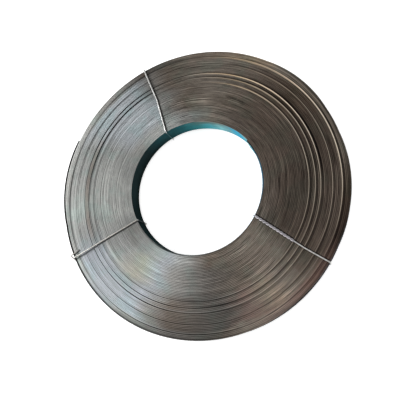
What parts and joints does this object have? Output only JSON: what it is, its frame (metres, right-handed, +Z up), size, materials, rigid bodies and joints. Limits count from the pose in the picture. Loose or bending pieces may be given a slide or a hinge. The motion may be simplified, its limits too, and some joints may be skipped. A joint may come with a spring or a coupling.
{
  "type": "resistance alloy strip coil",
  "caption": "Flat pancake coil of narrow metal strip, wound on a wide open bore and held by three wire ties.",
  "frame": {"origin": "on the floor, on the coil's axis", "axes": "+Z up along the coil's axis, +X just beside the right tie wire"},
  "size_m": [0.4321, 0.4331, 0.0398],
  "materials": {
    "rolled_strip": "bright rolled alloy strip, its edges satin and faintly brown from annealing",
    "tie_wire": "plain bright wire"
  },
  "bodies": {
    "root": {"strip_coil": "rolled_strip", "left_tie_wire": "tie_wire", "upper_tie_wire": "tie_wire", "right_tie_wire": "tie_wire"}
  },
  "joints": []
}
